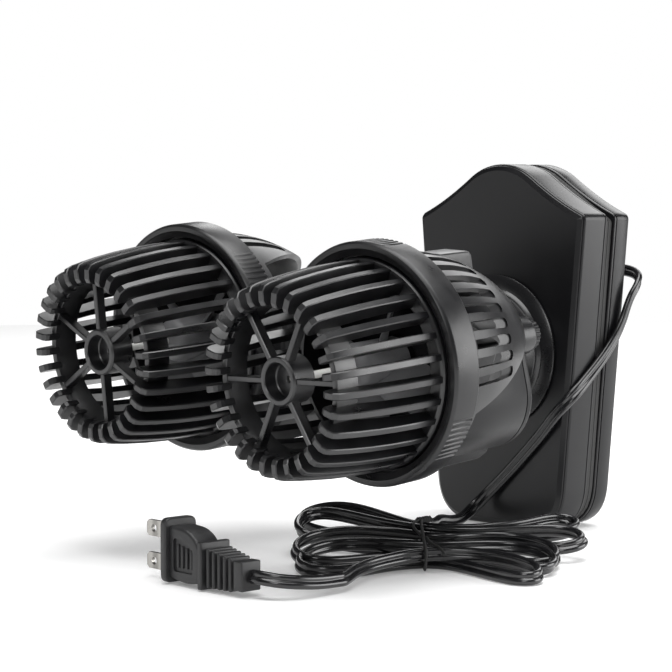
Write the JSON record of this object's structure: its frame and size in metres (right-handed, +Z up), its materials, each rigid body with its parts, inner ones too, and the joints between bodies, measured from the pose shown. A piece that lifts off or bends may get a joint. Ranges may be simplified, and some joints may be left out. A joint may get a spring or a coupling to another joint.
{
  "type": "wave maker pump",
  "caption": "Aquarium wave maker: twin caged propeller heads on a ball-jointed arm, a two-part magnet mount that grips the glass, and a tied mains cord with a two-blade plug.",
  "frame": {"origin": "on the wet half's rubber pad, at the middle of the area that is gripped against the glass", "axes": "+Z up the mount, -Y the way the propeller heads face, +Y through the glass to the dry half, +X to the right seen from behind the heads' jet looking at the mount's front"},
  "size_m": [0.2085, 0.2524, 0.162],
  "materials": {
    "satin_black_plastic": "satin moulded ABS",
    "soft_black_plastic": "fine matte",
    "black_rubber": "matte",
    "stainless_steel": "brushed",
    "magnet": "coated sintered magnet",
    "white_ceramic": "ground",
    "silicon_steel": "laminated",
    "copper_wire": "enamelled winding",
    "grey_plastic": "moulded",
    "white_nylon": "moulded"
  },
  "bodies": {
    "wet_half": {"front_casing": "satin_black_plastic", "front_casing_lid": "soft_black_plastic", "front_pad": "black_rubber", "front_yoke_plate": "stainless_steel", "front_magnet_lower": "magnet", "front_magnet_upper": "magnet", "socket_base": "satin_black_plastic", "socket_ring": "soft_black_plastic", "cord_gland": "black_rubber", "cord_lead": "black_rubber", "cord_hank": "black_rubber", "cord_to_plug": "black_rubber", "twist_tie": "black_rubber", "plug_body": "soft_black_plastic", "plug_strain_relief": "black_rubber", "plug_blade_upper": "stainless_steel", "plug_blade_lower": "stainless_steel"},
    "dry_half": {"rear_casing": "satin_black_plastic", "rear_casing_lid": "soft_black_plastic", "rear_pad": "black_rubber", "rear_yoke_plate": "stainless_steel", "rear_magnet_lower": "magnet", "rear_magnet_upper": "magnet"},
    "ball_liner": {"ball_liner": "white_nylon"},
    "ball": {"ball_stud": "stainless_steel"},
    "arm": {"crossbar": "satin_black_plastic", "stud_nut": "stainless_steel"},
    "right_head": {"right_front_grille": "satin_black_plastic", "right_rear_shroud": "satin_black_plastic", "right_motor_housing": "soft_black_plastic", "right_end_cap": "soft_black_plastic", "right_swivel_pin": "stainless_steel", "right_swivel_washer": "black_rubber", "right_swivel_nut": "soft_black_plastic", "right_stator_core": "silicon_steel", "right_coil": "copper_wire", "right_shaft": "white_ceramic", "right_rear_bush": "black_rubber", "right_front_bush": "black_rubber"},
    "left_head": {"left_front_grille": "satin_black_plastic", "left_rear_shroud": "satin_black_plastic", "left_motor_housing": "soft_black_plastic", "left_end_cap": "soft_black_plastic", "left_swivel_pin": "stainless_steel", "left_swivel_washer": "black_rubber", "left_swivel_nut": "soft_black_plastic", "left_stator_core": "silicon_steel", "left_coil": "copper_wire", "left_shaft": "white_ceramic", "left_rear_bush": "black_rubber", "left_front_bush": "black_rubber"},
    "right_ring": {"right_lock_ring": "satin_black_plastic"},
    "left_ring": {"left_lock_ring": "satin_black_plastic"},
    "right_rotor": {"right_rotor_magnet": "magnet", "right_propeller": "grey_plastic"},
    "left_rotor": {"left_rotor_magnet": "magnet", "left_propeller": "grey_plastic"}
  },
  "joints": [
    {"name": "glass_slide", "type": "slide", "parent": "wet_half", "child": "dry_half", "axis": [0, 1, 0], "range_m": [0, 0.008], "stiffness_N_per_m": 300, "springref_m": -0.05},
    {"name": "ball_tilt", "type": "hinge", "parent": "wet_half", "child": "ball_liner", "pos_m": [0, -0.03235, -0.0014], "axis": [1, 0, 0], "range_deg": [-20, 5]},
    {"name": "ball_pan", "type": "hinge", "parent": "ball_liner", "child": "ball", "pos_m": [0, -0.03235, -0.0014], "axis": [0, -0.0802, 0.9968], "range_deg": [-20, 20]},
    {"name": "arm_roll", "type": "hinge", "parent": "ball", "child": "arm", "pos_m": [0, -0.03235, -0.0014], "axis": [0, -0.9968, -0.0802], "range_deg": [-6, 6]},
    {"name": "right_head_turn", "type": "hinge", "parent": "arm", "child": "right_head", "pos_m": [0.05381, -0.03348, 0.01266], "axis": [0, -0.9968, -0.0802], "range_deg": [-160, 160]},
    {"name": "left_head_turn", "type": "hinge", "parent": "arm", "child": "left_head", "pos_m": [-0.05204, -0.03393, 0.01819], "axis": [0, -0.9968, -0.0802], "range_deg": [-160, 160]},
    {"name": "right_ring_turn", "type": "hinge", "parent": "right_head", "child": "right_ring", "pos_m": [0.05381, -0.03348, 0.01266], "axis": [0, -0.9968, -0.0802], "range_deg": [0, 18]},
    {"name": "left_ring_turn", "type": "hinge", "parent": "left_head", "child": "left_ring", "pos_m": [-0.05204, -0.03393, 0.01819], "axis": [0, -0.9968, -0.0802], "range_deg": [0, 18]},
    {"name": "right_rotor_spin", "type": "hinge", "parent": "right_head", "child": "right_rotor", "pos_m": [0.05381, -0.03348, 0.01266], "axis": [0, -0.9968, -0.0802], "continuous": true},
    {"name": "left_rotor_spin", "type": "hinge", "parent": "left_head", "child": "left_rotor", "pos_m": [-0.05204, -0.03393, 0.01819], "axis": [0, -0.9968, -0.0802], "continuous": true}
  ]
}
